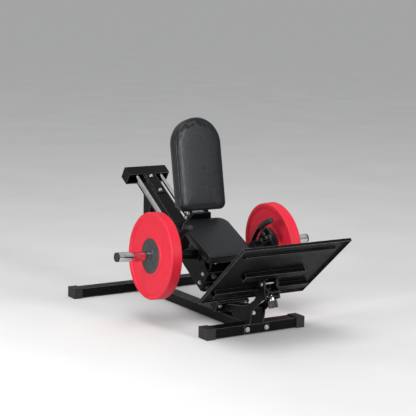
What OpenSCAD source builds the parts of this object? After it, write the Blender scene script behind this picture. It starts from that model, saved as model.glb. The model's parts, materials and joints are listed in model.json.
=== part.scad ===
// Seat-sled leg press: a seat carriage rolls up two inclined guide rods
// while the feet push on a tilting foot plate. Millimetres, +Z up, +Y to the
// rear, origin on the floor under the middle of the machine.

/* [Floor frame] */
// Length of the front foot over its end caps
front_foot_l = 595; // [560:5:640]
// Length of the rear foot over its end caps
rear_foot_l = 948; // [880:4:1000]
// Distance between the front faces of the two feet
foot_pitch = 1109; // [1080:1:1130]
// Front-to-back size of the floor tubes
tube_d = 75; // [72:1:78]
// Height of the floor tubes
tube_h = 50; // [46:1:52]
// Wall of the floor tubes
tube_wall = 3; // [2:0.5:4]
// Wall of the rubber end caps
cap_wall = 4; // [3:0.5:5]
// Length of the rubber end caps
cap_l = 50; // [40:1:60]

/* [Rail] */
// Slope of the rail
rail_tilt = 32; // [31:0.5:33]
// Width of the rail beam
beam_w = 80; // [76:1:84]
// Depth of the rail beam
beam_d = 90; // [84:1:92]
// Distance of each guide rod from the middle
rod_x = 78; // [76:0.5:80]
// Diameter of the guide rods
rod_dia = 25; // [22:0.5:25]
// Width of the upper rod bracket
hood_w = 260; // [250:2:270]
// Width of the lower rod bracket
lower_bracket_w = 196; // [190:2:200]

/* [Carriage] */
// Width between the outer faces of the side plates
carriage_w = 228; // [226:1:232]
// Width of the seat pad
seat_w = 290; // [270:2:300]
// Length of the seat pad
seat_l = 343; // [330:1:350]
// Thickness of the seat pad
pad_t = 48; // [42:1:50]
// Slope of the seat
seat_tilt = 26; // [26:0.5:28]
// Width of the backrest pad
back_w = 290; // [270:2:300]
// Height of the backrest pad
back_l = 500; // [460:5:520]
// Thickness of the backrest pad
back_t = 60; // [54:1:62]
// Backward lean of the backrest
back_lean = 11; // [9:0.5:12]

/* [Weights] */
// Diameter of the weight plates
plate_dia = 450; // [440:1:450]
// Thickness of the weight plates
plate_t = 62; // [50:1:66]
// Upward tilt of the weight horns
horn_tilt = 3.3; // [2.5:0.1:4]
// Diameter of the weight sleeves
sleeve_dia = 49.9; // [49.8:0.05:49.95]

/* [Foot plate] */
// Width of the foot plate
foot_plate_w = 635; // [600:5:640]
// Length of the foot plate
foot_plate_l = 514; // [500:2:520]
// Slope of the foot plate above the horizontal
foot_plate_tilt = 40.4; // [40:0.2:41]
// Depth of the folded rim
rim_d = 15; // [12:1:16]

/* [Hidden] */
$fn = 64;
part_gap = 0.3;         // between faces that move past each other
run_gap = 0.08;         // radial clearance of a turning or sliding fit
steel = "#1b1c1e";
rubber = "#141414";
zinc = "#c6c8cb";
chrome = "#d9dcdf";
leather = "#202124";
plate_red = "#d5263a";

// Floor frame
tube_y = cap_wall;                        // front face of the front tube
tube_top = cap_wall + tube_h;
rear_tube_y = foot_pitch + cap_wall;      // front face of the rear tube
flange_t = 8;
flange_w = 150;
front_plate_t = 3.5;                      // clamp plate on the front foot's face
foot_bolt_x = 58;
foot_bolt_z = cap_wall + tube_h / 2;
m12_r = 6;
m10_r = 5;
head_h = 8;
hole_slack = 0.4;

// Rail: u runs up the rail, v stands square to it, and v = 0 is the rods' axis
rail_y = 200;
rail_z = 88;
rod_r = rod_dia / 2;
rail_top_v = 13;                          // upper face of the beam
beam_floor_v = rail_top_v - beam_d;
beam_wall = 4;
plate_5 = 5;
plate_6 = 6;
hood_u = 1090;
hood_len = 67;
hood_d = 70;
hood_end_u = hood_u + hood_len;
hood_top_v = rail_top_v + plate_5;
beam_end_u = hood_end_u - plate_6;
beam_u = 60;
lower_u = 32;
lower_len = 53;
lower_d = 56;
rod_u = lower_u + plate_6;
tongue_u = 925;
tongue_w = 62;
tongue_bolt_u = [942, 1067];
rod_bolt_depth = 22;
buffer_u = lower_u + lower_len;
buffer_l = 62;
buffer_r = 21;
stop_ring_l = 18;
upright_d = 75;

// Carriage, in the rail's u and v
block_u = [170, 520];
block_l = 80;
block_x = [52, 104];
block_v = [-26, 40];
bush_r = 16;
cross_beam = 60;
cross_u = [180, 530];
cross_v = block_v[1];
cross_top_v = cross_v + cross_beam;
side_t = 8;
side_x = carriage_w / 2;                  // outer face of a side plate
inner_x = side_x - side_t;
side_outline = [[176, -24], [600, -24], [600, 96], [420, 104],
                [372, 132], [256, 144], [214, 112], [176, 100]];
side_bolts = [[206, 10], [206, 70], [560, 10], [560, 70]];

// Seat: origin at the pad's front top edge
seat_u = 174;
seat_v = 220;
seat_rel = seat_tilt - rail_tilt;
board_t = 12;
seat_stack = pad_t + board_t;
seat_frame_x = 100;
front_stud_x = 76;
front_stud_v = 84;

// Backrest: origin at the pad's front bottom edge
back_stack = back_t + board_t;
board_foot = 26;                          // board's lower edge above the pad's
back_y = 513;
back_z = 558;
hinge_u = 568;
hinge_v = 175;
bracket_u = cross_u[1];
bracket_x = 56;
bracket_top_v = 200;
arm_x = bracket_x - plate_6 - 0.5;
back_lock_r = 34;
back_range = 30;
arm_r = 18;

// Horns: origin on the outer face of a side plate, X outwards along the horn
horn_y = 404;
horn_z = 349.6;
horn_r = 24;
stop_disc_s = 212;
stop_disc_t = 12;
sleeve_s = stop_disc_s + stop_disc_t;
sleeve_l = 248;
sleeve_end_s = sleeve_s + sleeve_l;
core_r = 19;
groove_s = 300;                           // retaining groove outside the plate
sleeve_r = sleeve_dia / 2;
plate_s = sleeve_s + part_gap;
hub_r = 92;

// Lever handles, in the horn's frame
lever_s = 143;
lever_hub_l = 50;
lever_hub_r = 32;
lever_arc_r = 300;
lever_arc_y = -239;
lever_arc_z = -120;
lever_tube_r = 11;
lever_from = 27;
lever_to = 73;
grip_from = 52;
lever_bolts_yz = [[-85, 84], [-62, 46], [-107, 66], [-140, 78]];

// Foot plate: origin on the pivot, Y up along the plate, Z out of its face
sheet_t = 4;
pivot_up = 175;                           // pivot above the plate's bottom edge
pivot_back = 30;                          // pivot behind the plate's face
foot_edge_y = 60;
foot_edge_z = 191;
pivot_y = foot_edge_y - pivot_up * cos(foot_plate_tilt) - pivot_back * sin(foot_plate_tilt);
pivot_z = foot_edge_z + pivot_up * sin(foot_plate_tilt) - pivot_back * cos(foot_plate_tilt);
cheek_x = tube_d / 2;                     // inner face of a bracket cheek
cheek_out_x = cheek_x + plate_6;
ear_x = cheek_x - 0.7;
ear_t = 5;
sector_r = 64;
sector_t = 6;
lock_angle = 248;                         // clamp bolt, counted from +Y towards +Z
tilt_up = 20;
tilt_down = 10;
slot_half = m12_r + 0.4;
lock_plate_r = 68;
knob_r0 = 90;
knob_h = 34;

// The machine's middle, front to back
function rail_pt(u, v) = [rail_y + u * cos(rail_tilt) - v * sin(rail_tilt),
                          rail_z + u * sin(rail_tilt) + v * cos(rail_tilt)];
function underside_z(y) = rail_z + (y - rail_y) * tan(rail_tilt) + beam_floor_v / cos(rail_tilt);
function seat_under(u) = seat_v + (u - seat_u) * tan(seat_rel) - seat_stack / cos(seat_rel);
function polar(r, a) = [r * cos(a), r * sin(a)];
front_end_y = foot_edge_y - foot_plate_l * cos(foot_plate_tilt) - rim_d * sin(foot_plate_tilt);
rear_end_y = rail_pt(hood_end_u, beam_floor_v)[0];
mid_y = (front_end_y + rear_end_y) / 2;

// ---- frames of reference ----

module placed() translate([0, -mid_y, 0]) children();

module on_rail(u = 0, v = 0)
    placed() translate([0, rail_y, rail_z]) rotate([rail_tilt, 0, 0]) translate([0, u, v]) children();

module on_seat() on_rail(seat_u, seat_v) rotate([seat_rel, 0, 0]) children();

module on_back() placed() translate([0, back_y, back_z]) rotate([-back_lean, 0, 0]) children();

module on_horn(side)
    placed() mirror([side < 0 ? 1 : 0, 0, 0]) translate([side_x, horn_y, horn_z])
        rotate([0, -horn_tilt, 0]) children();

module on_pivot() placed() translate([0, pivot_y, pivot_z]) children();

module on_foot_plate() on_pivot() rotate([180 - foot_plate_tilt, 0, 0]) mirror([0, 0, 1]) children();

module on_lock() on_pivot() rotate([lock_angle - 90, 0, 0]) children();

// ---- shared shapes ----

// Extrudes a (Y, Z) outline from x0 to x1
module across(x0, x1) translate([x0, 0, 0]) rotate([90, 0, 90]) linear_extrude(x1 - x0) children();

module both_sides() for (s = [0, 1]) mirror([s, 0, 0]) children();

module block(x, y, z) translate([x[0], y[0], z[0]]) cube([x[1] - x[0], y[1] - y[0], z[1] - z[0]]);

module rod_x_axis(r, x0, x1) translate([x0, 0, 0]) rotate([0, 90, 0]) cylinder(r = r, h = x1 - x0);

module rod_y_axis(r, y0, y1) translate([0, y0, 0]) rotate([-90, 0, 0]) cylinder(r = r, h = y1 - y0);

// Part of a disc between two angles of less than 180 degrees
module wedge(r, a0, a1) {
    reach = r / cos((a1 - a0) / 2) + 1;
    intersection() {
        circle(r = r);
        polygon([[0, 0], polar(reach, a0), polar(reach, (a0 + a1) / 2) * 1.2, polar(reach, a1)]);
    }
}

module ring_wedge(r0, r1, a0, a1) difference() {
    wedge(r1, a0, a1);
    circle(r = r0);
}

// Hexagon head on a round washer, standing up from the origin
module hex_head(r) {
    cylinder(r = r * 2.1, h = 2);
    translate([0, 0, 2]) cylinder(r = r * 1.75, h = head_h - 2, $fn = 6);
}

// Bolt with its head's seat at the origin, its shank down and an optional nut
module bolt(r, l, nut = false) {
    hex_head(r);
    translate([0, 0, -l]) cylinder(r = r, h = l);
    if (nut) translate([0, 0, -l]) cylinder(r = r * 1.75, h = head_h, $fn = 6);
}

// Outline with its own radius at the low-Y and the high-Y corners
module pad_outline(w, l, r0, r1) {
    for (s = [-1, 1]) {
        translate([s * (w / 2 - r0), r0]) circle(r = r0);
        translate([s * (w / 2 - r1), l - r1]) circle(r = r1);
    }
    translate([-w / 2, r0]) square([w, l - r0 - r1]);
    translate([-w / 2 + r0, 0]) square([w - 2 * r0, r0]);
    translate([-w / 2 + r1, l - r1]) square([w - 2 * r1, r1]);
}

// ---- floor frame ----

module base_tube() color(steel) placed() {
    y = [tube_y + tube_d + flange_t, rear_tube_y - flange_t];
    difference() {
        block([-tube_d / 2, tube_d / 2], y, [cap_wall, tube_top]);
        block([-tube_d / 2 + tube_wall, tube_d / 2 - tube_wall], [y[0] - 1, y[1] + 1],
              [cap_wall + tube_wall, tube_top - tube_wall]);
    }
}

module flange(y, t) difference() {
    block([-flange_w / 2, flange_w / 2], [y, y + t], [cap_wall + 2, tube_top - 2]);
    for (s = [-1, 1]) translate([s * foot_bolt_x, 0, foot_bolt_z])
        rod_y_axis(m12_r + hole_slack, y - 1, y + t + 1);
}

module base_flanges() color(steel) placed() {
    flange(tube_y - front_plate_t, front_plate_t);
    flange(tube_y + tube_d, flange_t);
    flange(rear_tube_y - flange_t, flange_t);
}

module foot_tube(l, y) placed() difference() {
    x = l / 2 - cap_wall;
    block([-x, x], [y, y + tube_d], [cap_wall, tube_top]);
    block([-x - 1, x + 1], [y + tube_wall, y + tube_d - tube_wall],
          [cap_wall + tube_wall, tube_top - tube_wall]);
    for (s = [-1, 1]) translate([s * foot_bolt_x, 0, foot_bolt_z])
        rod_y_axis(m12_r + hole_slack, y - 1, y + tube_d + 1);
}

module front_foot() color(steel) foot_tube(front_foot_l, tube_y);

module rear_foot() color(steel) foot_tube(rear_foot_l, rear_tube_y);

module end_cap(l, y) difference() {
    block([l / 2 - cap_l, l / 2], [y, y + tube_d + 2 * cap_wall], [0, tube_top + cap_wall]);
    block([l / 2 - cap_l - 1, l / 2 - cap_wall], [y + cap_wall, y + cap_wall + tube_d],
          [cap_wall, tube_top]);
}

module foot_end_caps() color(rubber) placed() both_sides() {
    end_cap(front_foot_l, 0);
    end_cap(rear_foot_l, foot_pitch);
}

module foot_bolts() color(zinc) placed() {
    grip = tube_d + flange_t;
    for (s = [-1, 1]) translate([s * foot_bolt_x, 0, foot_bolt_z]) {
        translate([0, tube_y - front_plate_t, 0]) rotate([90, 0, 0])
            bolt(m12_r, front_plate_t + grip + head_h, true);
        translate([0, rear_tube_y + tube_d, 0]) rotate([-90, 0, 0]) bolt(m12_r, grip + head_h, true);
    }
    translate([-22, tube_y, 112]) rotate([90, 0, 0]) hex_head(m10_r);
}

module rear_upright() color(steel) placed() {
    y1 = rear_tube_y;
    y0 = y1 - upright_d;
    difference() {
        across(-tube_d / 2, tube_d / 2)
            polygon([[y0, tube_top], [y1, tube_top], [y1, underside_z(y1)], [y0, underside_z(y0)]]);
        block([-tube_d / 2 + tube_wall, tube_d / 2 - tube_wall], [y0 + tube_wall, y1 - tube_wall],
              [tube_top - 1, underside_z(y1) + 1]);
    }
}

// ---- rail ----

module rail_beam() color(steel) on_rail() difference() {
    block([-beam_w / 2, beam_w / 2], [beam_u, beam_end_u], [beam_floor_v, rail_top_v]);
    block([-beam_w / 2 + beam_wall, beam_w / 2 - beam_wall], [beam_u - 1, beam_end_u + 1],
          [beam_floor_v + beam_wall, rail_top_v - beam_wall]);
    for (u = tongue_bolt_u) translate([0, u, 0]) cylinder(r = m10_r + hole_slack, h = rail_top_v + 1);
}

// Channel of top plate, end plate, cheeks and floor wings, open to one end
module rod_channel(w, u, l, d, end_at) {
    u_end = end_at ? [u + l - plate_6, u + l] : [u, u + plate_6];
    v = [hood_top_v - d, hood_top_v];
    difference() {
        union() {
            block([-w / 2, w / 2], [u, u + l], [rail_top_v, hood_top_v]);
            block([-w / 2, w / 2], u_end, v);
            both_sides() {
                block([w / 2 - plate_6, w / 2], [u, u + l], v);
                block([beam_w / 2, w / 2], [u, u + l], [v[0], v[0] + plate_6]);
            }
        }
        for (s = [-1, 1]) translate([s * rod_x, 0, 0])
            rod_y_axis(m10_r + hole_slack, u_end[0] - 1, u_end[1] + 1);
    }
}

module upper_rod_bracket() color(steel) on_rail() {
    rod_channel(hood_w, hood_u, hood_len, hood_d, true);
    block([-beam_w / 2, beam_w / 2], [beam_end_u, hood_end_u], [beam_floor_v, hood_top_v - hood_d]);
    difference() {
        block([-tongue_w / 2, tongue_w / 2], [tongue_u, hood_u], [rail_top_v, hood_top_v]);
        for (u = tongue_bolt_u) translate([0, u, rail_top_v - 1])
            cylinder(r = m10_r + hole_slack, h = plate_5 + 2);
    }
}

module lower_rod_bracket() color(steel) on_rail()
    rod_channel(lower_bracket_w, lower_u, lower_len, lower_d, false);

module guide_rod(side) color(chrome) on_rail() translate([side * rod_x, 0, 0]) difference() {
    rod_y_axis(rod_r, rod_u, beam_end_u);
    rod_y_axis(m10_r, rod_u - 1, rod_u + rod_bolt_depth);
    rod_y_axis(m10_r, beam_end_u - rod_bolt_depth, beam_end_u + 1);
}

module rod_end_bolts() color(zinc) on_rail() for (s = [-1, 1]) translate([s * rod_x, 0, 0]) {
    translate([0, lower_u, 0]) rotate([90, 0, 0]) bolt(m10_r, plate_6 + rod_bolt_depth - 2);
    translate([0, hood_end_u, 0]) rotate([-90, 0, 0]) bolt(m10_r, plate_6 + rod_bolt_depth - 2);
}

module beam_bolts() color(zinc) on_rail() for (u = tongue_bolt_u)
    translate([0, u, hood_top_v]) bolt(m10_r, plate_5 + beam_wall + head_h, true);

module rod_buffers() color(rubber) on_rail() for (s = [-1, 1]) translate([s * rod_x, 0, 0]) difference() {
    union() {
        rod_y_axis(buffer_r, buffer_u, buffer_u + buffer_l);
        rod_y_axis(buffer_r - 3, buffer_u + buffer_l, buffer_u + buffer_l + stop_ring_l);
    }
    rod_y_axis(rod_r, buffer_u - 1, buffer_u + buffer_l + stop_ring_l + 1);
}

// ---- foot plate support ----

module footplate_post() color(steel) placed() {
    top = 136;
    difference() {
        block([-tube_d / 2, tube_d / 2], [tube_y, tube_y + tube_d], [tube_top, top]);
        block([-tube_d / 2 + tube_wall, tube_d / 2 - tube_wall],
              [tube_y + tube_wall, tube_y + tube_d - tube_wall], [tube_top - 1, top - tube_wall]);
    }
}

module cheek_outline() difference() {
    union() {
        polygon([[tube_y, tube_top], [-10, 123], [-99, 196], [-136, 211], [-110, 287],
                 [-65, 284], [-56, 222], [-30, 186], [40, 140], [208, 116], [236, 84],
                 [170, 83], [135, tube_top]]);
        translate([pivot_y, pivot_z]) circle(r = 24);
    }
    translate([pivot_y, pivot_z]) circle(r = m12_r);
}

module pivot_bracket() color(steel) placed() {
    both_sides() across(cheek_x, cheek_out_x) cheek_outline();
}

module lock_plate() color(steel) on_lock() difference() {
    block([-cheek_x, cheek_x], [-20, 20], [lock_plate_r, lock_plate_r + plate_6]);
    translate([0, 0, lock_plate_r - 1]) cylinder(r = m12_r, h = plate_6 + 2);
}

module pivot_bolt() color(zinc) on_pivot() {
    rod_x_axis(m12_r, -cheek_out_x, cheek_out_x + head_h);
    translate([-cheek_out_x, 0, 0]) rotate([0, -90, 0]) hex_head(m12_r);
    translate([cheek_out_x, 0, 0]) rotate([0, 90, 0]) cylinder(r = m12_r * 1.75, h = head_h, $fn = 6);
}

module lock_bolt() color(zinc) on_lock() {
    head_z = 50;
    knob_bore_end = knob_r0 + knob_h - 4;
    translate([0, 0, head_z]) cylinder(r = 12, h = sector_r - sector_t - head_z - 2);
    translate([0, 0, head_z]) cylinder(r = m12_r, h = knob_bore_end - head_z - 1);
    translate([0, 0, lock_plate_r + plate_6]) cylinder(r = 14, h = knob_r0 - lock_plate_r - plate_6 - part_gap);
}

module lock_knob() color(rubber) on_lock() translate([0, 0, knob_r0]) difference() {
    linear_extrude(knob_h) {
        circle(r = 20);
        for (a = [0 : 60 : 300]) translate(polar(18, a)) circle(r = 8);
    }
    translate([0, 0, -1]) cylinder(r = m12_r + run_gap, h = knob_h - 3);
}

// ---- foot plate ----

module foot_plate() color(steel) on_foot_plate() {
    half = foot_plate_w / 2;
    top = foot_plate_l - pivot_up;
    face = pivot_back;
    difference() {
        block([-half, half], [-pivot_up, top], [face - rim_d, face]);
        block([-half + sheet_t, half - sheet_t], [-pivot_up + sheet_t, top - sheet_t],
              [face - rim_d - 1, face - sheet_t]);
    }
}

// Folded channel, open towards the plate
module stiffener(half, y, w, d) difference() {
    block([-half, half], [y - w / 2, y + w / 2], [pivot_back - sheet_t - d, pivot_back - sheet_t]);
    block([-half - 1, half + 1], [y - w / 2 + 3, y + w / 2 - 3],
          [pivot_back - sheet_t - d + 3, pivot_back - sheet_t + 1]);
}

module foot_plate_stiffeners() color(steel) on_foot_plate() {
    stiffener(267, foot_plate_l - pivot_up - 85, 24, 10);
    stiffener(179, 67, 40, 25);
    stiffener(280, -82, 40, 25);
}

module ear_outline() difference() {
    union() {
        circle(r = 22);
        wedge(sector_r, lock_angle - tilt_up - 16, lock_angle + tilt_down + 16);
        rotate(180 - foot_plate_tilt) translate([-32, -(pivot_back - sheet_t)])
            square([76, pivot_back - sheet_t]);
    }
    circle(r = m12_r + run_gap);
}

module foot_plate_ears() color(steel) on_pivot() both_sides() across(ear_x - ear_t, ear_x) ear_outline();

module angle_sector() color(steel) on_pivot() difference() {
    across(-ear_x + ear_t, ear_x - ear_t)
        ring_wedge(sector_r - sector_t, sector_r, lock_angle - tilt_up - 16, lock_angle + tilt_down + 16);
    across(-slot_half, slot_half)
        ring_wedge(sector_r - sector_t - 1, sector_r + 1, lock_angle - tilt_up - 7, lock_angle + tilt_down + 7);
}

// ---- carriage ----

module carriage_side(side) color(steel) on_rail() mirror([side < 0 ? 1 : 0, 0, 0])
    across(inner_x, side_x) polygon(side_outline);

module carriage_beam(u) color(steel) on_rail() difference() {
    block([-inner_x, inner_x], [u, u + cross_beam], [cross_v, cross_top_v]);
    block([-inner_x - 1, inner_x + 1], [u + beam_wall, u + cross_beam - beam_wall],
          [cross_v + beam_wall, cross_top_v - beam_wall]);
}

module bearing_block(side, u) color(steel) on_rail() mirror([side < 0 ? 1 : 0, 0, 0]) difference() {
    block(block_x, [u, u + block_l], block_v);
    translate([rod_x, 0, 0]) rod_y_axis(bush_r, u - 1, u + block_l + 1);
}

module rod_bushes() color(chrome) on_rail() both_sides() for (u = block_u)
    translate([rod_x, 0, 0]) difference() {
        rod_y_axis(bush_r, u + 2, u + block_l - 2);
        rod_y_axis(rod_r + run_gap, u, u + block_l);
    }

module carriage_bolts() color(zinc) on_rail() both_sides() {
    for (b = side_bolts) translate([side_x, b[0], b[1]]) rotate([0, 90, 0]) hex_head(m10_r);
    translate([front_stud_x, 0, front_stud_v]) rod_y_axis(12, cross_u[0] - 24, cross_u[0]);
}

module horn_cross_tube() color(steel) placed() translate([0, horn_y, horn_z]) difference() {
    rod_x_axis(22, -inner_x, inner_x);
    rod_x_axis(18, -inner_x - 1, inner_x + 1);
}

module horn(side) color(steel) on_horn(side) difference() {
    union() {
        rod_x_axis(38, 3, 9);
        rod_x_axis(horn_r, 3, stop_disc_s);
        rod_x_axis(45, stop_disc_s, sleeve_s);
        rod_x_axis(core_r, sleeve_s, sleeve_end_s);
    }
    rod_x_axis(core_r - 5, 2, sleeve_end_s + 1);
}

module sleeve(side) color(chrome) on_horn(side) difference() {
    rod_x_axis(sleeve_r, sleeve_s, sleeve_end_s);
    rod_x_axis(core_r, sleeve_s - 1, sleeve_end_s + 1);
    difference() {
        rod_x_axis(sleeve_r + 1, groove_s, groove_s + 3);
        rod_x_axis(sleeve_r - 0.6, groove_s - 1, groove_s + 4);
    }
}

module sleeve_caps() color(rubber) for (side = [-1, 1]) on_horn(side) {
    rod_x_axis(sleeve_r - 1, sleeve_end_s, sleeve_end_s + 9);
    rod_x_axis(core_r - 5, sleeve_end_s - 16, sleeve_end_s);
}

module seat_frame() color(steel) {
    u = [192, 500];
    on_rail() both_sides() difference() {
        across(seat_frame_x - plate_6, seat_frame_x)
            polygon([[u[0], cross_top_v], [cross_u[1], cross_top_v],
                     [u[1], seat_under(u[1])], [u[0], seat_under(u[0])]]);
        translate([0, (horn_y - rail_y) * cos(rail_tilt) + (horn_z - rail_z) * sin(rail_tilt),
                   (horn_z - rail_z) * cos(rail_tilt) - (horn_y - rail_y) * sin(rail_tilt)])
            rod_x_axis(22.2, 0, side_x);
    }
    on_seat() for (y = [40, 255])
        block([-seat_frame_x + plate_6, seat_frame_x - plate_6], [y, y + 40], [-seat_stack - plate_6, -seat_stack]);
}

module seat_board() color("#2a2622") on_seat() translate([0, 18, -seat_stack])
    linear_extrude(board_t) pad_outline(seat_w - 66, seat_l - 36, 20, 40);

module seat_pad() color(leather) on_seat() translate([0, 0, -pad_t])
    linear_extrude(pad_t) pad_outline(seat_w, seat_l, 25, 60);

// ---- backrest ----

module backrest_bracket() color(steel) on_rail() {
    difference() {
        union() {
            translate([0, bracket_u + plate_6, 0]) rotate([90, 0, 0]) linear_extrude(plate_6)
                polygon([[-95, cross_top_v], [95, cross_top_v], [bracket_x, bracket_top_v],
                         [-bracket_x, bracket_top_v]]);
            both_sides() across(bracket_x - plate_6, bracket_x)
                polygon([[bracket_u + plate_6, cross_top_v], [590, cross_top_v], [594, 150],
                         [590, 180], [578, 189], [bracket_u + plate_6, 189]]);
        }
        translate([0, hinge_u, hinge_v]) rod_x_axis(m12_r, -side_x, side_x);
        translate([0, hinge_u, hinge_v - back_lock_r]) rod_x_axis(m10_r, -side_x, side_x);
    }
}

module backrest_bolts() color(zinc) on_rail() {
    for (b = [[0, m12_r], [back_lock_r, m10_r]]) translate([0, hinge_u, hinge_v - b[0]]) {
        rod_x_axis(b[1], -bracket_x, bracket_x);
        both_sides() translate([bracket_x, 0, 0]) rotate([0, 90, 0]) hex_head(b[1]);
    }
}

// The arm's lower lobe carries the curved slot for the lock bolt
module arm_lobe() on_rail(hinge_u, hinge_v) both_sides() difference() {
    across(arm_x - plate_6, arm_x) {
        circle(r = arm_r);
        wedge(back_lock_r + 10, 255, 288 + back_range);
    }
    across(arm_x - plate_6 - 1, arm_x + 1) {
        circle(r = m12_r + run_gap);
        ring_wedge(back_lock_r - m10_r - 0.4, back_lock_r + m10_r + 0.4, 261, 279 + back_range);
    }
}

module backrest_arm() color(steel) {
    arm_lobe();
    on_back() {
        both_sides() across(arm_x - plate_5 - 0.5, arm_x - 0.5)
            polygon([[back_stack + 1, 2], [back_stack + 1, 240], [back_stack + 14, 240],
                     [back_stack + 28, 40], [back_stack + 24, 2]]);
        block([-arm_x + 2, arm_x - 2], [back_stack, back_stack + plate_5], [board_foot + 4, 238]);
    }
}

module back_outline(inset) {
    r = back_w / 2;
    translate([0, back_l - r]) circle(r = r - inset);
    translate([-r + inset, 40]) square([2 * (r - inset), back_l - r - 40]);
    for (s = [-1, 1]) translate([s * (r - 40), 40]) circle(r = 40 - inset);
    translate([-r + 40, inset]) square([2 * r - 80, 40]);
}

module on_back_face(y) on_back() translate([0, y, 0]) rotate([90, 0, 0]) mirror([0, 0, 1]) children();

module backrest_board() color("#2a2622") on_back_face(back_t) linear_extrude(board_t) difference() {
    back_outline(5);
    translate([-back_w / 2, 0]) square([back_w, board_foot]);
}

module backrest_pad() color(leather) on_back_face(0) linear_extrude(back_t) back_outline(0);

// ---- lever handles ----

module lever_arc(r, a0, a1) translate([lever_s, lever_arc_y, lever_arc_z]) rotate([90, 0, 90])
    rotate([0, 0, a0]) rotate_extrude(angle = a1 - a0) translate([lever_arc_r, 0]) circle(r = r);

module lever(side) color(steel) on_horn(side) difference() {
    union() {
        rod_x_axis(lever_hub_r, lever_s - lever_hub_l / 2, lever_s + lever_hub_l / 2);
        lever_arc(lever_tube_r, lever_from, lever_to);
    }
    rod_x_axis(horn_r + run_gap, 0, stop_disc_s);
}

module lever_plate(side) on_horn(side) {
    color(steel) across(lever_s - 3, lever_s + 3) difference() {
        polygon([[-22, 24], [-40, 66], [-72, 98], [-108, 124], [-152, 96], [-150, 66],
                 [-72, 30], [-28, 16]]);
        circle(r = lever_hub_r);
        translate([lever_arc_y, lever_arc_z]) ring_wedge(lever_arc_r - lever_tube_r, lever_arc_r + 40, 0, 90);
    }
    color(zinc) for (b = lever_bolts_yz) translate([lever_s - 3, b[0], b[1]])
        rotate([0, -90, 0]) hex_head(m10_r);
}

module lever_grip(side) color(rubber) on_horn(side) difference() {
    lever_arc(lever_tube_r + 5, grip_from, lever_to + 1.5);
    lever_arc(lever_tube_r, grip_from - 2, lever_to);
}

// ---- weight plates ----

module weight_plate(side) color(plate_red) on_horn(side) translate([plate_s, 0, 0]) rotate([0, 90, 0])
    rotate_extrude($fn = 128) {
        r = plate_dia / 2;
        polygon([[hub_r, 3], [104, 3], [110, 7], [198, 7], [204, 1], [r - 5, 0], [r, 5],
                 [r, plate_t - 5], [r - 5, plate_t], [204, plate_t - 1], [198, plate_t - 7],
                 [110, plate_t - 7], [104, plate_t - 3], [hub_r, plate_t - 3]]);
    }

module plate_hub(side) color("#2b2d30") on_horn(side) translate([plate_s, 0, 0]) rotate([0, 90, 0])
    rotate_extrude($fn = 96) {
        bore = sleeve_r + run_gap;
        polygon([[bore, 0], [40, 0], [42, 5], [hub_r, 5], [hub_r, plate_t - 5], [42, plate_t - 5],
                 [40, plate_t], [bore, plate_t]]);
    }

// ---- nodes ----

base_tube();
base_flanges();
front_foot();
rear_foot();
foot_end_caps();
foot_bolts();
rear_upright();
rail_beam();
upper_rod_bracket();
lower_rod_bracket();
guide_rod(-1);  // guide_rod_left
guide_rod(1);  // guide_rod_right
rod_end_bolts();
beam_bolts();
rod_buffers();
footplate_post();
pivot_bracket();
lock_plate();
pivot_bolt();
lock_bolt();
carriage_side(-1);  // carriage_side_left
carriage_side(1);  // carriage_side_right
carriage_beam(cross_u[0]);  // carriage_front_beam
carriage_beam(cross_u[1]);  // carriage_rear_beam
bearing_block(-1, block_u[0]);  // bearing_block_front_left
bearing_block(1, block_u[0]);  // bearing_block_front_right
bearing_block(-1, block_u[1]);  // bearing_block_rear_left
bearing_block(1, block_u[1]);  // bearing_block_rear_right
rod_bushes();
carriage_bolts();
horn_cross_tube();
horn(-1);  // horn_left
horn(1);  // horn_right
sleeve(-1);  // sleeve_left
sleeve(1);  // sleeve_right
sleeve_caps();
seat_frame();
seat_board();
seat_pad();
backrest_bracket();
backrest_bolts();
backrest_arm();
backrest_board();
backrest_pad();
lever(-1);  // lever_left
lever(1);  // lever_right
lever_plate(-1);  // lever_plate_left
lever_plate(1);  // lever_plate_right
lever_grip(-1);  // lever_grip_left
lever_grip(1);  // lever_grip_right
foot_plate();
foot_plate_stiffeners();
foot_plate_ears();
angle_sector();
lock_knob();
weight_plate(-1);  // weight_plate_left
weight_plate(1);  // weight_plate_right
plate_hub(-1);  // plate_hub_left
plate_hub(1);  // plate_hub_right
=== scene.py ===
"""Looks for a seat-sled leg press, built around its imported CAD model.

Metres, +Z up, +Y to the rear. Lengths written as millimetres go through the frames below.
"""

import json
import math

import bmesh
import bpy
from mathutils import Matrix, Vector
from mathutils.bvhtree import BVHTree


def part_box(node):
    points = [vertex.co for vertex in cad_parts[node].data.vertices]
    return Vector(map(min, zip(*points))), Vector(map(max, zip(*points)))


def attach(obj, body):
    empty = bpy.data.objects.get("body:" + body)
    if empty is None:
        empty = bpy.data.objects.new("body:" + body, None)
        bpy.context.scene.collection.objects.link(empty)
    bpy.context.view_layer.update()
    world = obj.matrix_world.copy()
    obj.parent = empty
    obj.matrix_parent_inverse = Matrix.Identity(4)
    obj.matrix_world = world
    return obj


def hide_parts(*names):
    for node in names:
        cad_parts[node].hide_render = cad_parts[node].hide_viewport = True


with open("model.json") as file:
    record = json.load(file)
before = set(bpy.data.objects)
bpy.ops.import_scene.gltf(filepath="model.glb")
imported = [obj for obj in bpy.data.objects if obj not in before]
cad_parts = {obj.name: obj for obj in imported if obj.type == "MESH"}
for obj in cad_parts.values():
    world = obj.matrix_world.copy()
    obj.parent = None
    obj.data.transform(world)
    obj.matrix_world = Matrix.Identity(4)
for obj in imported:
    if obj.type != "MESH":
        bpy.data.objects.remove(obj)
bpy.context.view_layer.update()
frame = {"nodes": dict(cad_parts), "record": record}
SCENE = bpy.context.scene
MM = 0.001
FRONT_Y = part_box("foot_end_caps")[0].y  # front face of the front foot


# ---- frames of reference, the same as the CAD's ----

def shift(x, y, z):
    return Matrix.Translation((x * MM, y * MM, z * MM))


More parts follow.
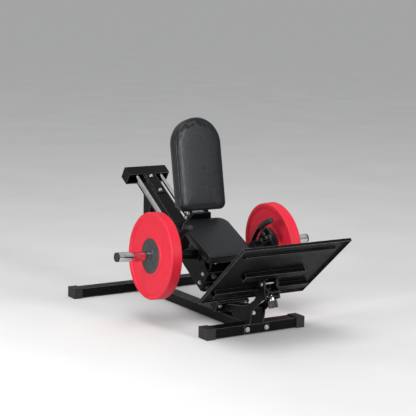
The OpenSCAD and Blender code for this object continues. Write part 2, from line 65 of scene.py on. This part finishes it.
def turn(axis, degrees):
    return Matrix.Rotation(math.radians(degrees), 4, axis)


def flip(axis):
    return Matrix.Scale(-1, 4, axis)


# Degrees, and places in millimetres.
RAIL_TILT, SEAT_TILT, BACK_LEAN, HORN_TILT, FOOT_TILT = 32, 26, 11, 3.3, 40.4
RAIL_FOOT = (0, 200, 88)
SEAT_ON_RAIL = (0, 174, 220)
BACK_FOOT = (0, 513, 558)
PIVOT_BOLT = (0, -92.7, 281.6)
HORN_ROOT = (114, 404, 349.6)

BASE = Matrix.Translation((0, FRONT_Y, 0))
RAIL = BASE @ shift(*RAIL_FOOT) @ turn("X", RAIL_TILT)
SEAT = RAIL @ shift(*SEAT_ON_RAIL) @ turn("X", SEAT_TILT - RAIL_TILT)
BACK = BASE @ shift(*BACK_FOOT) @ turn("X", -BACK_LEAN) @ turn("X", 90)
FOOT_PLATE = BASE @ shift(*PIVOT_BOLT) @ turn("X", 180 - FOOT_TILT) @ flip((0, 0, 1))


def horn_frame(side):
    mirror = flip((1, 0, 0)) if side < 0 else Matrix.Identity(4)
    return BASE @ mirror @ shift(*HORN_ROOT) @ turn("Y", -HORN_TILT)


# ---- camera ----

CAMERA_PLACE = (-3.6841, -5.7743, 1.6989)
CAMERA_ANGLES = (-32.34, 9.27, 1.073)  # azimuth, downward pitch and roll
CAMERA_LENS = 113.85


def add_camera():
    azimuth, pitch, roll = (math.radians(angle) for angle in CAMERA_ANGLES)
    forward = Vector((-math.sin(azimuth) * math.cos(pitch), math.cos(azimuth) * math.cos(pitch),
                      -math.sin(pitch)))
    right = Vector((math.cos(azimuth), math.sin(azimuth), 0))
    up = right.cross(forward)
    x_axis = right * math.cos(roll) + up * math.sin(roll)
    y_axis = up * math.cos(roll) - right * math.sin(roll)
    data = bpy.data.cameras.new("camera")
    data.lens, data.sensor_width = CAMERA_LENS, 36
    data.clip_end = 10000
    camera = bpy.data.objects.new("camera", data)
    rotation = Matrix((x_axis, y_axis, -forward)).transposed().to_4x4()
    camera.matrix_world = Matrix.Translation(CAMERA_PLACE) @ rotation
    SCENE.collection.objects.link(camera)
    SCENE.camera = camera


add_camera()


# ---- materials ----

class Shader:
    """A node material with a Principled shader, and short calls for the nodes that feed it."""

    def __init__(self, name, **sockets):
        self.material = bpy.data.materials.new(name)
        self.material.use_nodes = True
        self.tree = self.material.node_tree
        self.principled = self.tree.nodes["Principled BSDF"]
        for socket, value in sockets.items():
            self.principled.inputs[socket.replace("_", " ")].default_value = value
        self.coord = self.node("ShaderNodeTexCoord").outputs["Object"]

    def node(self, kind, **values):
        node = self.tree.nodes.new(kind)
        for key, value in values.items():
            setattr(node, key, value)
        return node

    def link(self, source, target):
        self.tree.links.new(source, target)

    def feed(self, socket, source):
        self.link(source, self.principled.inputs[socket])

    def noise(self, scale, detail=2.0, stretch=None):
        node = self.node("ShaderNodeTexNoise")
        node.inputs["Scale"].default_value = scale
        node.inputs["Detail"].default_value = detail
        self.link(self.stretched(stretch) if stretch else self.coord, node.inputs["Vector"])
        return node.outputs["Fac"]

    def stretched(self, stretch):
        node = self.node("ShaderNodeMapping")
        node.inputs["Scale"].default_value = stretch
        self.link(self.coord, node.inputs["Vector"])
        return node.outputs["Vector"]

    def cells(self, scale, feature="F1"):
        node = self.node("ShaderNodeTexVoronoi", feature=feature)
        node.inputs["Scale"].default_value = scale
        self.link(self.coord, node.inputs["Vector"])
        return node.outputs["Distance"]

    def ramp(self, source, stops):
        node = self.node("ShaderNodeValToRGB")
        elements = node.color_ramp.elements
        for element, (place, value) in zip(elements, (stops[0], stops[-1])):
            element.position, element.color = place, self.rgba(value)
        for place, value in stops[1:-1]:
            elements.new(place).color = self.rgba(value)
        self.link(source, node.inputs["Fac"])
        return node.outputs["Color"]

    @staticmethod
    def rgba(value):
        return (*value, 1.0) if hasattr(value, "__len__") else (value, value, value, 1.0)

    def maths(self, operation, a, b):
        node = self.node("ShaderNodeMath", operation=operation)
        for socket, value in zip(node.inputs, (a, b)):
            if isinstance(value, (int, float)):
                socket.default_value = value
            else:
                self.link(value, socket)
        return node.outputs["Value"]

    def mix(self, factor, a, b):
        node = self.node("ShaderNodeMix", data_type="RGBA")
        self.link(factor, node.inputs["Factor"])
        for socket, value in zip((node.inputs[6], node.inputs[7]), (a, b)):
            if hasattr(value, "is_output"):
                self.link(value, socket)
            else:
                socket.default_value = self.rgba(value)
        return node.outputs[2]

    def rounded(self, radius):
        """Normal that rounds the edges off, and a mask that is 1 on those edges; the materials lighten
        their colour with this mask, which is a painted highlight.
        """
        bevel = self.node("ShaderNodeBevel", samples=6)
        bevel.inputs["Radius"].default_value = radius
        geometry = self.node("ShaderNodeNewGeometry")
        dot = self.node("ShaderNodeVectorMath", operation="DOT_PRODUCT")
        self.link(bevel.outputs["Normal"], dot.inputs[0])
        self.link(geometry.outputs["Normal"], dot.inputs[1])
        return bevel.outputs["Normal"], self.ramp(dot.outputs["Value"], [(0.88, 1.0), (0.99, 0.0)])

    def bump(self, height, distance, strength=1.0, normal=None):
        node = self.node("ShaderNodeBump")
        node.inputs["Strength"].default_value = strength
        node.inputs["Distance"].default_value = distance
        self.link(height, node.inputs["Height"])
        if normal is not None:
            self.link(normal, node.inputs["Normal"])
        return node.outputs["Normal"]


def powder_coat():
    s = Shader("frame_black", Specular_IOR_Level=0.1)
    normal, edge = s.rounded(0.0022)
    haze = s.ramp(s.noise(7, 4), [(0.35, (0.0022, 0.0024, 0.0028)), (0.75, (0.0050, 0.0052, 0.0058))])
    # The edge mask, broken up by noise, lightens the colour along the edges toward grey: a painted
    # highlight.
    s.feed("Base Color", s.mix(s.maths("MULTIPLY", edge, s.noise(60, 3)), haze, (0.42, 0.425, 0.435)))
    s.feed("Roughness", s.ramp(s.noise(26, 5), [(0.3, 0.34), (0.8, 0.5)]))
    s.feed("Normal", s.bump(s.noise(1300, 3), 0.00018, 0.6, normal))
    return s.material


def zinc():
    s = Shader("zinc_bolts", Metallic=1.0)
    normal, edge = s.rounded(0.0008)
    cast = s.ramp(s.noise(90, 4), [(0.3, (0.50, 0.51, 0.53)), (0.7, (0.74, 0.74, 0.73))])
    # The edge mask lightens the colour along the edges: a painted highlight.
    s.feed("Base Color", s.mix(edge, cast, (0.86, 0.86, 0.86)))
    s.feed("Roughness", s.ramp(s.noise(220, 4), [(0.3, 0.22), (0.75, 0.42)]))
    s.feed("Normal", s.bump(s.noise(900, 3), 0.0001, 0.5, normal))
    return s.material


def polished_chrome():
    s = Shader("chrome_steel", Metallic=1.0)
    smear = s.noise(40, 5)
    s.feed("Base Color", s.ramp(smear, [(0.3, (0.50, 0.50, 0.51)), (0.7, (0.66, 0.66, 0.66))]))
    s.feed("Roughness", s.ramp(smear, [(0.25, 0.06), (0.8, 0.16)]))
    s.feed("Normal", s.bump(s.noise(700, 2), 0.00004, 0.35))
    return s.material


def moulded(name, low, high, roughness, grain):
    s = Shader(name)
    normal, edge = s.rounded(0.002)
    body = s.ramp(s.noise(14, 4), [(0.3, low), (0.75, high)])
    # A lighter colour mixed in along the edges by the edge mask: a painted highlight.
    painted_highlight = tuple(c * 2.2 + 0.01 for c in high)
    s.feed("Base Color", s.mix(s.maths("MULTIPLY", edge, 0.35), body, painted_highlight))
    s.feed("Roughness", s.ramp(s.noise(45, 4), [(0.3, roughness - 0.06), (0.75, roughness + 0.08)]))
    s.feed("Normal", s.bump(s.noise(grain, 3), 0.00025, 0.6, normal))
    return s.material


def synthetic_leather():
    s = Shader("black_leather", Specular_IOR_Level=0.3)
    wrinkle = s.noise(34, 5)
    pore = s.cells(1100, "DISTANCE_TO_EDGE")
    tone = s.ramp(s.noise(5, 3), [(0.3, (0.0050, 0.0068, 0.0092)), (0.75, (0.0080, 0.0102, 0.0132))])
    s.feed("Base Color", s.mix(s.ramp(pore, [(0.0, 1.0), (0.25, 0.0)]), tone, (0.008, 0.009, 0.010)))
    s.feed("Roughness", s.ramp(wrinkle, [(0.3, 0.26), (0.75, 0.36)]))
    grain = s.bump(s.ramp(pore, [(0.0, 0.0), (0.3, 1.0)]), 0.00012, 0.5)
    s.feed("Normal", s.bump(wrinkle, 0.0008, 0.12, grain))
    return s.material


def stained_plywood():
    s = Shader("plywood", Roughness=0.6)
    plies = s.node("ShaderNodeTexWave", bands_direction="Y")
    plies.inputs["Scale"].default_value = 95
    plies.inputs["Distortion"].default_value = 1.2
    s.link(s.coord, plies.inputs["Vector"])
    grain = s.noise(30, 6, (1, 1, 0.06))
    wood = s.ramp(grain, [(0.3, (0.035, 0.024, 0.016)), (0.7, (0.085, 0.060, 0.040))])
    dark = s.maths("MULTIPLY", plies.outputs["Fac"], 0.35)
    s.feed("Base Color", s.mix(dark, wood, (0.022, 0.015, 0.010)))
    s.feed("Normal", s.bump(grain, 0.0004, 0.6))
    return s.material


def red_rubber():
    s = Shader("red_rubber", Specular_IOR_Level=0.3)
    normal, edge = s.rounded(0.003)
    body = s.ramp(s.noise(9, 5), [(0.3, (0.56, 0.009, 0.028)), (0.75, (0.66, 0.015, 0.038))])
    specks = s.ramp(s.noise(520, 2), [(0.30, (0.40, 0.008, 0.022)), (0.42, (0.62, 0.012, 0.034))])
    body = s.mix(s.noise(18, 2), body, specks)
    # The edge mask lightens the colour along the edges toward coral red: a painted highlight.
    s.feed("Base Color", s.mix(s.maths("MULTIPLY", edge, 0.5), body, (0.78, 0.06, 0.075)))
    s.feed("Roughness", s.ramp(s.noise(30, 5), [(0.3, 0.42), (0.75, 0.56)]))
    s.feed("Normal", s.bump(s.noise(800, 3), 0.00022, 0.6, normal))
    return s.material


def hub_steel():
    s = Shader("hub_steel", Metallic=0.35)
    normal, edge = s.rounded(0.0015)
    body = s.ramp(s.noise(30, 5), [(0.3, (0.030, 0.032, 0.035)), (0.75, (0.055, 0.057, 0.060))])
    # The edge mask lightens the colour along the edges: a painted highlight.
    s.feed("Base Color", s.mix(edge, body, (0.16, 0.16, 0.165)))
    s.feed("Roughness", s.ramp(s.noise(60, 4), [(0.3, 0.38), (0.75, 0.52)]))
    s.feed("Normal", s.bump(s.noise(600, 3), 0.00015, 0.5, normal))
    return s.material


def thread():
    s = Shader("thread_black", Roughness=0.7, Sheen_Weight=0.3)
    s.feed("Base Color", s.ramp(s.noise(700, 2), [(0.3, 0.02), (0.7, 0.045)]))
    s.feed("Normal", s.bump(s.noise(2500, 2), 0.0002, 0.5))
    return s.material


MATERIALS = {
    "frame_black": powder_coat(),
    "zinc_bolts": zinc(),
    "chrome_steel": polished_chrome(),
    "black_rubber": moulded("black_rubber", (0.006, 0.006, 0.006), (0.012, 0.012, 0.012), 0.66, 500),
    "black_plastic": moulded("black_plastic", (0.006, 0.006, 0.007), (0.012, 0.012, 0.013), 0.44, 900),
    "black_leather": synthetic_leather(),
    "plywood": stained_plywood(),
    "red_rubber": red_rubber(),
    "hub_steel": hub_steel(),
}
THREAD = thread()


def finish_cad_nodes():
    for part in frame["record"]["subparts"]:
        node = frame["nodes"][part["node"]]
        material = MATERIALS[part["material_slot"]]
        for slot in node.material_slots:
            slot.material = material


finish_cad_nodes()


# ---- mesh helpers ----

def mesh_piece(name, verts, faces, material, body):
    mesh = bpy.data.meshes.new(name)
    mesh.from_pydata([tuple(v) for v in verts], [], faces)
    mesh.validate()
    mesh.materials.append(material)
    mesh.shade_smooth()
    piece = bpy.data.objects.new(name, mesh)
    SCENE.collection.objects.link(piece)
    outward(mesh)
    if body:
        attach(piece, body)
    return piece


def outward(mesh):
    shell = bmesh.new()
    shell.from_mesh(mesh)
    bmesh.ops.recalc_face_normals(shell, faces=shell.faces)
    shell.to_mesh(mesh)
    shell.free()


def resampled(points, step, closed=False):
    """The same path with points about a step apart."""
    ring = list(points) + ([points[0]] if closed else [])
    lengths = [0.0]
    for a, b in zip(ring, ring[1:]):
        lengths.append(lengths[-1] + (b - a).length)
    count = max(2, round(lengths[-1] / step))
    path, k = [], 0
    for i in range(count if closed else count + 1):
        at = lengths[-1] * i / count
        while k < len(ring) - 2 and lengths[k + 1] < at:
            k += 1
        span = max(lengths[k + 1] - lengths[k], 1e-9)
        path.append(ring[k].lerp(ring[k + 1], (at - lengths[k]) / span))
    return path


def tube(path, radii, sides=8, closed=False):
    """Vertices and faces of a tube along a path, with a radius at each point."""
    count = len(path)
    verts, faces, normal = [], [], None
    for i, point in enumerate(path):
        after = path[(i + 1) % count] if closed else path[min(i + 1, count - 1)]
        before = path[i - 1] if closed else path[max(i - 1, 0)]
        along = (after - before).normalized()
        if normal is None:
            normal = along.orthogonal()
        normal = (normal - along * normal.dot(along)).normalized()
        side = along.cross(normal)
        for k in range(sides):
            a = 2 * math.pi * k / sides
            verts.append(point + (normal * math.cos(a) + side * math.sin(a)) * radii[i])
    for i in range(count if closed else count - 1):
        j = (i + 1) % count
        for k in range(sides):
            m = (k + 1) % sides
            faces.append((i * sides + k, i * sides + m, j * sides + m, j * sides + k))
    if not closed:
        faces += [tuple(range(sides)), tuple(range((count - 1) * sides, count * sides))]
    return verts, faces


def arc(x, y, r, start, end, steps=16):
    """Points of an arc, each as its centre, radius and angle, so that it can be inset later."""
    angles = [math.radians(start + (end - start) * i / steps) for i in range(steps + 1)]
    return [(x, y, r, a) for a in angles]


def outline_point(corner, inset):
    x, y, r, a = corner
    return x + (r - inset) * math.cos(a), y + (r - inset) * math.sin(a)


# ---- weld beads ----

def weld(name, points, body, closed=True, radius=3.2):
    """A rippled bead of a radius in millimetres along a joint."""
    path = resampled(points, 0.9 * MM, closed)
    ripple = [0.78 + 0.22 * abs(math.sin(math.pi * i / 4)) for i in range(len(path))]
    verts, faces = tube(path, [radius * MM * r for r in ripple], 6, closed)
    return mesh_piece(name, verts, faces, MATERIALS["frame_black"], body)


def in_frame(at, points):
    return [at @ Vector((x * MM, y * MM, z * MM)) for x, y, z in points]


def rectangle(x, y, z):
    """Corners of a box's section: exactly one of x, y and z is a single number."""
    if not isinstance(y, tuple):
        return [(x[0], y, z[0]), (x[1], y, z[0]), (x[1], y, z[1]), (x[0], y, z[1])]
    if not isinstance(z, tuple):
        return [(x[0], y[0], z), (x[1], y[0], z), (x[1], y[1], z), (x[0], y[1], z)]
    return [(x, y[0], z[0]), (x, y[1], z[0]), (x, y[1], z[1]), (x, y[0], z[1])]


def ring(x, r, steps=40):
    return [(x, r * math.cos(2 * math.pi * i / steps), r * math.sin(2 * math.pi * i / steps))
            for i in range(steps)]


def add_welds():
    half, top = 37.5, 54  # of the frame's tube: half its width, and its upper face
    weld("weld_front_flange", in_frame(BASE, rectangle((-half, half), 87, (4, top))), "frame")
    weld("weld_rear_flange", in_frame(BASE, rectangle((-half, half), 1105, (4, top))), "frame")
    weld("weld_upright_foot", in_frame(BASE, rectangle((-half, half), (1038, 1113), top)), "frame")
    weld("weld_post_foot", in_frame(BASE, rectangle((-half, half), (4, 79), top)), "frame")
    for side in (-1, 1):
        tag = "left" if side < 0 else "right"
        hood = [(side * 130, 1091, 18), (side * 130, 1151, 18)]
        weld(f"weld_hood_{tag}", in_frame(RAIL, hood), "frame", False, 2.6)
        for name, u in (("front", 180), ("rear", 530)):
            beam = rectangle(side * 106, (u, u + 60), (40, 100))
            weld(f"weld_beam_{name}_{tag}", in_frame(RAIL, beam), "carriage", True, 2.8)
        horn = horn_frame(side)
        weld(f"weld_flange_{tag}", in_frame(horn, ring(9, 24.6)), "carriage")
        weld(f"weld_disc_{tag}", in_frame(horn, ring(211.5, 24.6)), "carriage")
        for name, reach, y in (("top", 266, 242), ("middle", 178, 47), ("low", 279, -102)):
            bead = [(side * reach * share, y, 25.5) for share in (0.55, 0.9)]
            weld(f"weld_stiffener_{name}_{tag}", in_frame(FOOT_PLATE, bead), "foot_plate", False, 2.2)


add_welds()


# ---- padded seat and backrest ----

SEAM_DEPTH, STITCH_DEPTH = 19, 26  # below the face
FACE_DEPTH = 20  # the part of the cover that may rise
SIDE_MOVE = 0.6
EDGE_HOLD = 30  # how far from the outline the foam is still held down


def seat_corners():
    return (arc(120, 25, 25, -90, 0) + arc(85, 283, 60, 0, 90)
            + arc(-85, 283, 60, 90, 180) + arc(-120, 25, 25, 180, 270))


def back_corners():
    return arc(105, 40, 40, -90, 0) + arc(0, 355, 145, 0, 180, 48) + arc(-105, 40, 40, 180, 270)


def foam_block(corners, thickness, crown, edge):
    """Closed pad, its face up and a crown's height below z = 0, and its corners rounded over."""
    levels = [(7, -thickness), (2.5, -thickness + 2), (1.5, -thickness + 6), (1.5, -thickness / 2)]
    for a in range(0, 91, 15):
        c, s = math.cos(math.radians(a)), math.sin(math.radians(a))
        levels.append((1.5 + edge * (1 - c), -crown - edge + edge * s))
    verts, faces, count = [], [], len(corners)
    for inset, z in levels:
        verts += [(*outline_point(corner, inset), z) for corner in corners]
    for i in range(len(levels) - 1):
        for k in range(count):
            m = (k + 1) % count
            faces.append((i * count + k, i * count + m, (i + 1) * count + m, (i + 1) * count + k))
    faces.append(tuple(range(count)))
    faces.append(tuple(range((len(levels) - 1) * count, len(levels) * count)))
    return [Vector(v) * MM for v in verts], faces


def applied(piece):
    """Replaces the mesh with what its modifiers make of it."""
    made = bpy.data.meshes.new_from_object(piece.evaluated_get(bpy.context.evaluated_depsgraph_get()))
    piece.modifiers.clear()
    piece.data = made


def remeshed(piece, size):
    modifier = piece.modifiers.new("remesh", "REMESH")
    modifier.mode, modifier.voxel_size = "VOXEL", size
    applied(piece)
    smooth = piece.modifiers.new("smooth", "SMOOTH")
    smooth.factor, smooth.iterations = 0.5, 4
    applied(piece)


def freedom(piece, corners):
    """How freely each point of the cover may rise: 0 on the sides and the back, near 1 in mid face."""
    outline = resampled([Vector((*outline_point(c, 0), 0)) * MM for c in corners], 5 * MM, True)
    shares = []
    for vertex in piece.data.vertices:
        flat = Vector((vertex.co.x, vertex.co.y, 0))
        near = min((flat - point).length for point in outline)
        on_face = vertex.co.z > -FACE_DEPTH * MM
        shares.append(1 - math.exp(-near / (EDGE_HOLD * MM)) if on_face else 0.0)
    return shares


def swollen(piece, corners, thickness, pressure, cap):
    """Blows the pad up with cloth pressure, held at its back, and limits how far a point moves.

    The cover is stretched over foam, so it moves most in the middle of the face and little sideways.
    """
    reach = freedom(piece, corners)
    rest = [v.co.copy() for v in piece.data.vertices]
    held = piece.vertex_groups.new(name="held")
    held.add([i for i, co in enumerate(rest) if co.z < (-thickness + 5) * MM], 1.0, "REPLACE")
    cloth = piece.modifiers.new("cloth", "CLOTH")
    cloth.settings.use_pressure = True
    cloth.settings.uniform_pressure_force = pressure
    cloth.settings.vertex_group_mass = "held"
    cloth.settings.effector_weights.gravity = 0
    cloth.settings.quality = 5
    cloth.point_cache.frame_start, cloth.point_cache.frame_end = 1, 20
    for number in range(1, 21):
        SCENE.frame_set(number)
    applied(piece)
    for vertex, start, share in zip(piece.data.vertices, rest, reach):
        move = vertex.co - start
        sideways = Vector((move.x, move.y, 0))
        if sideways.length > SIDE_MOVE * MM:
            sideways *= SIDE_MOVE * MM / sideways.length
        vertex.co = start + sideways + Vector((0, 0, max(0.0, min(cap, move.z)) * share))
    smooth = piece.modifiers.new("smooth", "SMOOTH")
    smooth.factor, smooth.iterations = 0.5, 6
    applied(piece)
    SCENE.frame_set(1)


def seam_path(piece, corners, depth):
    """Points on the pad's side at a depth below its face."""
    tree = BVHTree.FromObject(piece, bpy.context.evaluated_depsgraph_get())
    path = []
    for corner in corners:
        out = Vector((math.cos(corner[3]), math.sin(corner[3]), 0))
        start = Vector((*outline_point(corner, 0), -depth)) * MM + out * 0.03
        hit = tree.ray_cast(start, -out)[0]
        if hit is not None:
            path.append(hit)
    return path


def pinched(piece, path, width, depth):
    """Pulls the surface in along a seam."""
    line = resampled(path, 3 * MM, True)
    centre = sum(line, Vector()) / len(line)
    for vertex in piece.data.vertices:
        if abs(vertex.co.z - line[0].z) < width:
            near = min((vertex.co - p).length for p in line)
            if near < width:
                inward = (centre - vertex.co)
                inward.z = 0
                vertex.co += inward.normalized() * depth * (1 - (near / width) ** 2)


def placed(verts, at):
    return [at @ v for v in verts]


def stitch_row(name, path, at, body):
    """Short thread stitches beside a seam."""
    line = resampled(path, 4.2 * MM, True)
    verts, faces = [], []
    for a, b in zip(line, line[1:]):
        direction = b - a
        ends = [a + direction * t for t in (0.12, 0.3, 0.7, 0.88)]
        part, quads = tube(ends, [0.25 * MM, 0.55 * MM, 0.55 * MM, 0.25 * MM], 6)
        faces += [tuple(i + len(verts) for i in quad) for quad in quads]
        verts += part
    mesh_piece(name, placed(verts, at), faces, THREAD, body)


def padded_piece(name, node, corners, at, thickness, crown, edge, body):
    verts, faces = foam_block(corners, thickness, crown, edge)
    pad = mesh_piece(name, verts, faces, MATERIALS["black_leather"], None)
    remeshed(pad, 5 * MM)
    swollen(pad, corners, thickness, 4.0, crown * MM)
    finer = pad.modifiers.new("finer", "SUBSURF")
    finer.levels = finer.render_levels = 1
    applied(pad)
    path = seam_path(pad, corners, SEAM_DEPTH)
    pinched(pad, path, 4 * MM, 1.6 * MM)
    welt = resampled(path, 3 * MM, True)
    welt_verts, welt_faces = tube(welt, [1.9 * MM] * len(welt), 8, True)
    mesh_piece(f"{name}_welt", placed(welt_verts, at), welt_faces, MATERIALS["black_leather"], body)
    stitch_row(f"{name}_stitches", seam_path(pad, corners, STITCH_DEPTH), at, body)
    pad.data.transform(at)
    pad.data.materials.clear()
    pad.data.materials.append(MATERIALS["black_leather"])
    pad.data.shade_smooth()
    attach(pad, body)
    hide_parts(node)


padded_piece("seat_cushion", "seat_pad", seat_corners(), SEAT, thickness=48, crown=3, edge=8,
             body="carriage")
padded_piece("back_cushion", "backrest_pad", back_corners(), BACK, thickness=60, crown=6, edge=13,
             body="backrest")


# ---- ribbed lever grips ----

def lever_grip(side):
    tag = "left" if side < 0 else "right"
    horn = horn_frame(side)
    start, end, steps = 52.0, 74.5, 180  # degrees along the lever's arc
    lever_r, grip_r = 300, 14.6
    path, radii = [], []
    for i in range(steps + 1):
        t = i / steps
        a = math.radians(start + (end - start) * t)
        on_arc = Vector((143, -239 + lever_r * math.cos(a), -120 + lever_r * math.sin(a)))
        path.append(horn @ (on_arc * MM))
        rib = 1.0 if 0.07 < t < 0.9 and (i // 3) % 2 else 0.0
        collar = 1.2 if t < 0.05 else 0.0
        dome = 1 - max(0.0, (t - 0.94) / 0.06) ** 2 * 0.75
        radii.append((grip_r + rib + collar) * dome * MM)
    verts, faces = tube(path, radii, 24)
    grip = mesh_piece(f"grip_{tag}", verts, faces, MATERIALS["black_rubber"], f"{tag}_lever")
    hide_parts(f"lever_grip_{tag}")


for SIDE in (-1, 1):
    lever_grip(SIDE)


# ---- floor and light ----

def add_floor():
    bpy.ops.mesh.primitive_plane_add(size=4000, location=(0, 0, 0))
    floor = bpy.context.object
    floor.name = "floor"
    s = Shader("floor_pale")
    s.feed("Base Color", s.ramp(s.noise(1.5, 4), [(0.3, 0.62), (0.7, 0.66)]))
    s.feed("Roughness", s.ramp(s.noise(3, 3), [(0.3, 0.75), (0.7, 0.85)]))
    floor.data.materials.append(s.material)


def add_light(name, place, target, size, power):
    data = bpy.data.lights.new(name, "AREA")
    data.shape = "RECTANGLE"
    data.size, data.size_y = size
    data.energy = power
    light = bpy.data.objects.new(name, data)
    aim = (Vector(target) - Vector(place)).to_track_quat("-Z", "Y")
    light.matrix_world = Matrix.Translation(place) @ aim.to_matrix().to_4x4()
    SCENE.collection.objects.link(light)


def add_world():
    """Soft grey dome, brighter overhead than at the horizon."""
    world = bpy.data.worlds.new("studio")
    world.use_nodes = True
    tree = world.node_tree
    background = tree.nodes["Background"]
    coord = tree.nodes.new("ShaderNodeTexCoord")
    split = tree.nodes.new("ShaderNodeSeparateXYZ")
    ramp = tree.nodes.new("ShaderNodeValToRGB")
    stops = ramp.color_ramp.elements
    stops[0].position, stops[0].color = 0.0, (0.34, 0.35, 0.36, 1)
    stops[1].position, stops[1].color = 0.8, (0.80, 0.80, 0.80, 1)
    stops.new(0.12).color = (0.38, 0.39, 0.40, 1)
    stops.new(0.35).color = (0.55, 0.56, 0.57, 1)
    tree.links.new(coord.outputs["Generated"], split.inputs[0])
    tree.links.new(split.outputs["Z"], ramp.inputs["Fac"])
    tree.links.new(ramp.outputs["Color"], background.inputs["Color"])
    background.inputs["Strength"].default_value = 0.8
    SCENE.world = world


add_floor()
add_world()
add_light("top", (-2.0, -1.6, 7.5), (0, 0, 0.3), (4.0, 4.0), 290)
add_light("side", (-3.4, -0.9, 1.3), (0, 0.1, 0.8), (0.4, 1.8), 75)
add_light("front", (1.8, -8.4, 3.3), (0, 0, 0.6), (2.0, 2.6), 400)
SCENE.view_settings.view_transform = "Standard"
